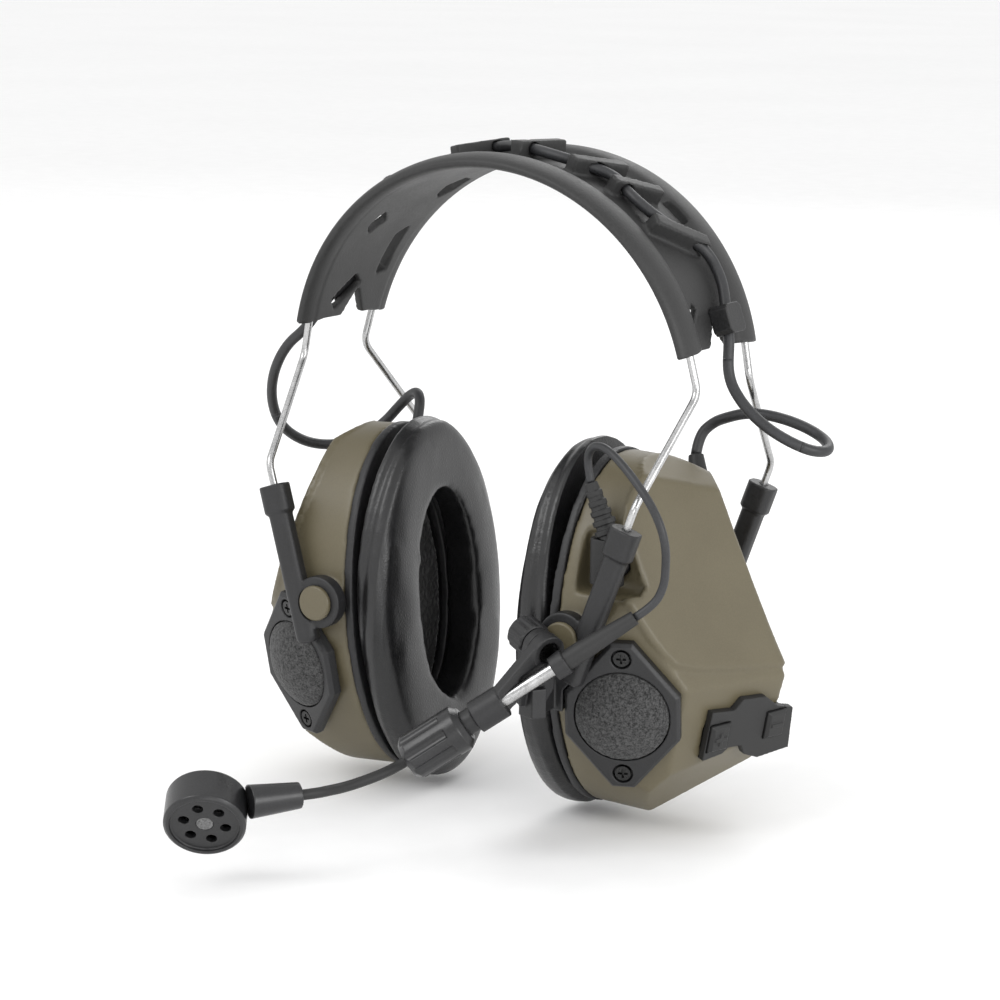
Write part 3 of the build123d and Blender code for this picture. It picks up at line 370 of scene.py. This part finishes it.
MIC_LEAD = (
    (41.2, -33.6, -79.0), (40.36, -33.76, -75.09), (40.6, -34.4, -71.4), (43.5, -36.5, -68.4),
    (48.4, -38.8, -68.3), (54.4, -41.0, -71.6), (60.5, -43.0, -76.4), (65.1, -44.2, -81.1),
    (68.1, -44.4, -86.3), (69.0, -43.4, -91.8), (68.2, -41.8, -97.2), (67.2, -40.6, -102.2),
    (65.07, -41.52, -107.29), (60.78, -44.07, -110.62),
)


def cords():
    """The free cables, each a tube along its route between the two bodies that it joins."""
    rows = (
        ("left_loop_upper", LEFT_UPPER, 3.0, "headband", "left_arms", "bare"),
        ("left_loop_lower", LEFT_LOWER, 3.0, "left_arms", "left_cup", "object"),
        ("right_loop_upper", RIGHT_UPPER, 3.0, "headband", "right_arms", "bare"),
        ("right_loop_lower", RIGHT_LOWER, 3.0, "right_arms", "right_cup", "object"),
        ("mic_cable", MIC_LEAD, 2.2, "left_cup", "boom", "object"),
    )
    for node, route, diameter, first, second, far_end in rows:
        path = cord_line(node + "_line", route)
        piece = tube_along(node + "_jacket", path, diameter / 2 * MM)
        dress(piece, "cable_jacket", None, node)
        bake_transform(piece)


# ---------------------------------------------------------------- shells, cushions and foams


CREASE = (
    (-20.0, 46.0), (-25.0, 31.0), (-29.0, 27.0), (-30.0, 17.0), (-26.2, 5.2), (-24.4, 1.0), (-22.1, -2.8),
    (-16.6, -5.0), (-5.1, -7.7), (13.0, -10.8), (34.0, -15.3), (46.0, -18.0),
)


def crease_distance(y, z):
    """Distance from the hood's lower edge in the cup's own plane: positive on the hood."""
    best = None
    point = Vector((y, z))
    for start, end in zip(CREASE, CREASE[1:]):
        a, b = Vector(start), Vector(end)
        run = b - a
        share = max(0.0, min(1.0, (point - a).dot(run) / run.length_squared))
        gap = point - (a + run * share)
        if best is None or gap.length < abs(best):
            best = gap.length if run.x * gap.y - run.y * gap.x > 0 else -gap.length
    return best


def hood_lift(place, normal, side):
    """A shell point, raised where it is on the hood."""
    local = to_cup(place, side)
    facing = Vector((normal.x * side, normal.y, normal.z)).dot(CUP_OUT)
    if local.x < 6 or facing < 0.12:
        return place
    gap = crease_distance(local.y, local.z)
    step = ease((gap + 0.5) / 1.1) * math.exp(-max(gap, 0) / 16)
    lift = HOOD_LIFT * step * ease((local.x - 6) / 8) * ease((facing - 0.12) / 0.2)
    return place + normal * lift * MM


def shells():
    """The olive cups: softened facets, with the hood standing proud of the lower band."""
    for side, cup in CUPS:
        piece = rounded(cup + "_shell", 0.75, 3)
        reshape(piece, lambda place, normal, side=side: hood_lift(place, normal, side))
        dress(piece, "olive_plastic", cup + "_cup", cup + "_shell")


def puff(piece, cap, side):
    """Fills a cushion by cloth simulation, with each point's travel capped at cap mm."""
    before = [vertex.co.copy() for vertex in piece.data.vertices]
    cloth = piece.modifiers.new("fill", "CLOTH")
    cloth.settings.quality = 5
    cloth.settings.mass = 0.2
    cloth.settings.tension_stiffness = 12
    cloth.settings.compression_stiffness = 12
    cloth.settings.bending_stiffness = 0.6
    cloth.settings.use_pressure = True
    cloth.settings.uniform_pressure_force = 4
    cloth.settings.effector_weights.gravity = 0
    cloth.collision_settings.use_collision = False
    scene = bpy.context.scene
    for step in range(1, 13):
        scene.frame_set(step)
    settle(piece)
    scene.frame_set(1)
    starts = iter(before)

    def held(place, normal):
        start = next(starts)
        move = place - start
        if move.length > cap * MM:
            move = move.normalized() * cap * MM
        local = to_cup(start + move, side)
        local.x = min(local.x, CUSHION_FOOT - 0.15)
        return from_cup(local, side)

    reshape(piece, held)


def cushion_form(place, normal, side):
    """A cushion point, pulled in at the waist, let out at the welt and lightly crumpled."""
    local = to_cup(place, side)
    y, z = local.y - EAR_CENTRE[0], local.z - EAR_CENTRE[1]
    angle = math.atan2(z / 1.5, y)
    radius = math.hypot(y / CUSHION_HALF_SIZE[0], z / CUSHION_HALF_SIZE[1])
    depth = (local.x - CUSHION_FACE) / (CUSHION_FOOT - CUSHION_FACE)
    outside = ease((radius - 0.8) / 0.12)
    waist = math.exp(-((depth - 0.72) / 0.1) ** 2) * outside
    welt = math.exp(-((depth - 0.36) / 0.06) ** 2) * outside
    crumple = noise.noise(Vector((math.cos(angle) * 4, math.sin(angle) * 5, depth * 1.4 + 7 * side)))
    inward = 0.8 * waist - 0.25 * welt + 0.35 * crumple * outside * ease(1 - abs(depth - 0.5) * 2)
    scale = 1 - inward / max(math.hypot(y, z), 1)
    face = ease(1 - depth * 3) * (1 - ease((radius - 0.86) / 0.1))
    local.x += 0.3 * face * noise.noise(Vector((y / 11, z / 13, side * 3)))
    local.y = EAR_CENTRE[0] + y * scale
    local.z = EAR_CENTRE[1] + z * scale
    return from_cup(local, side)


def knit(place, normal, side):
    """A liner point, raised and lowered by the open knit."""
    local = to_cup(place, side)
    weave = math.sin(local.y * 2 * math.pi / KNIT_PITCH) * math.sin(local.z * 2 * math.pi / KNIT_PITCH)
    return place + normal * 0.16 * weave * MM


def cushions():
    """The leather-covered ear cushions, and the knitted liner inside each."""
    for side, cup in CUPS:
        piece = rounded(cup + "_cushion", 1.6, 4)
        puff(piece, CUSHION_TRAVEL, side)
        finer = piece.modifiers.new("finer", "SUBSURF")
        finer.levels = 1
        finer.render_levels = 1
        settle(piece)
        reshape(piece, lambda place, normal, side=side: cushion_form(place, normal, side))
        dress(piece, "cushion_skin", cup + "_cup", cup + "_cushion")
        liner = rounded(cup + "_ear_foam", 0.8, 3)
        reshape(liner, lambda place, normal, side=side: knit(place, normal, side))
        dress(liner, "liner_mesh", cup + "_cup", cup + "_ear_foam")


def porous(place, normal):
    """A foam point, moved by the open cells."""
    pore = noise.noise(place / (0.7 * MM)) + 0.6 * noise.noise(place / (0.35 * MM))
    return place + normal * 0.13 * pore * MM


def foams():
    """The open-cell windscreens of the two ambient microphones."""
    for cup in ("left", "right"):
        piece = rounded(cup + "_mic_foam", 0.35, 3)
        reshape(piece, porous)
        dress(piece, "foam", cup + "_cup", cup + "_mic_foam")


# ---------------------------------------------------------------- moulded and turned parts


# Each moulded node's voxel, in mm, and its smoothing passes
MOULDED = {
    "headband_pad": (0.5, 3),
    "left_front_arm": (0.3, 4), "left_rear_arm": (0.3, 4),
    "right_front_arm": (0.3, 4), "right_rear_arm": (0.3, 4),
    "left_pivot_pins": (0.22, 3), "right_pivot_pins": (0.22, 3),
    "left_base_ring": (0.5, 3), "right_base_ring": (0.5, 3),
    "left_mic_frame": (0.24, 2), "right_mic_frame": (0.24, 2),
    "left_cable_clip": (0.2, 3), "right_cable_clip": (0.2, 3),
    "left_cable_gland": (0.2, 2), "right_cable_gland": (0.2, 2),
    "keypad_panel": (0.22, 3), "plus_button": (0.14, 2), "minus_button": (0.14, 2),
    "mic_socket": (0.3, 2), "mic_plug": (0.22, 3), "mic_plug_boot": (0.16, 2),
    "boom_mount": (0.28, 4), "boom_bracket": (0.24, 4), "boom_knob": (0.22, 3), "boom_nut": (0.2, 3),
    "boom_sleeve": (0.2, 3), "gooseneck": (0.25, 2), "mic_arm": (0.22, 3), "mic_housing": (0.22, 3),
    "battery_door": (0.25, 2),
}


def moulded_parts():
    """The rest of the moulded parts, with the softened edges that a mould leaves."""
    for node, (voxel, passes) in MOULDED.items():
        dress(rounded(node, voxel, passes), SLOT_OF[node], BODY_OF[node], node)


def carried_over():
    """CAD nodes whose own shape is right keep it, with a procedural material."""
    for node in BODY_OF:
        holder = frame["nodes"][node]
        holder.data.materials.clear()
        holder.data.materials.append(MATERIALS[SLOT_OF[node]])


studio()
carried_over()
cords()
shells()
cushions()
foams()
moulded_parts()
